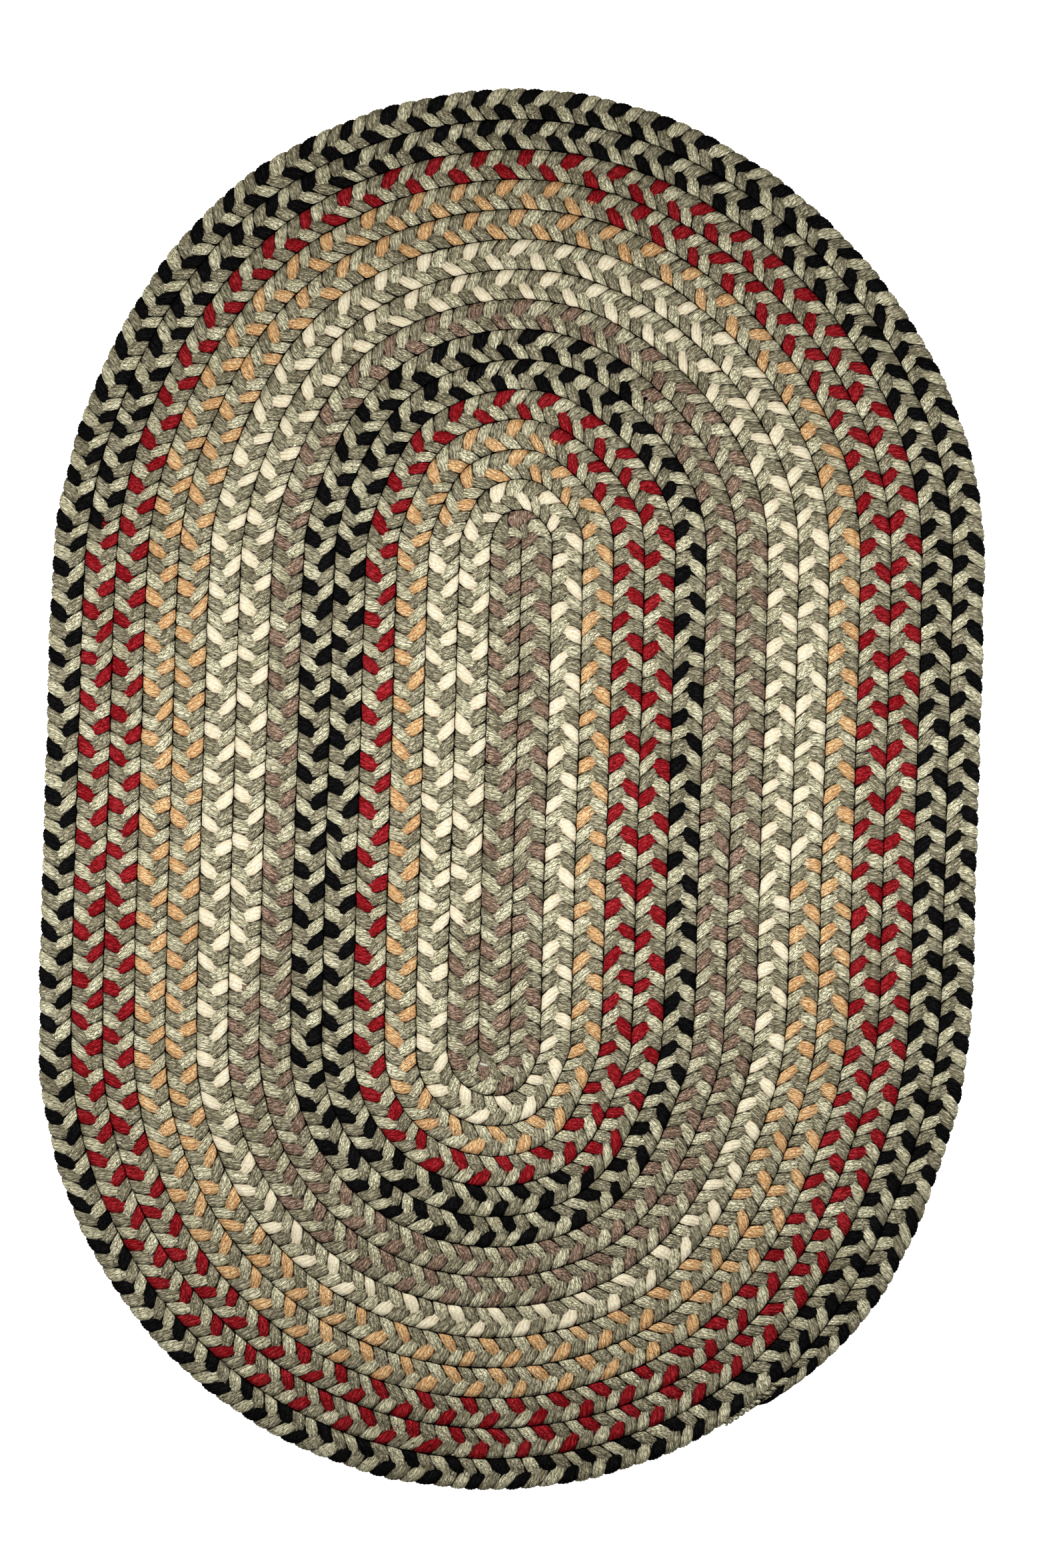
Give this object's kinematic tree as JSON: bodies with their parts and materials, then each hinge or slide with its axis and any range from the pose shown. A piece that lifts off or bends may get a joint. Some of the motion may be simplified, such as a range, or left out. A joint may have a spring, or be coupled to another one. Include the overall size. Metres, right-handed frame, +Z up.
{
  "type": "braided rug",
  "caption": "Oval floor rug of one long three-strand braid wound into a coil and laced round to round, with coloured bands",
  "frame": {"origin": "centre of the rug's outline, on the floor under it", "axes": "+X across the rug, +Y along it away from the end that holds the braid's tapered tail, +Z up out of the face"},
  "size_m": [0.617, 0.9146, 0.01],
  "materials": {
    "yarn": "matte"
  },
  "bodies": {
    "root": {"braided_rug": "yarn"}
  },
  "joints": []
}
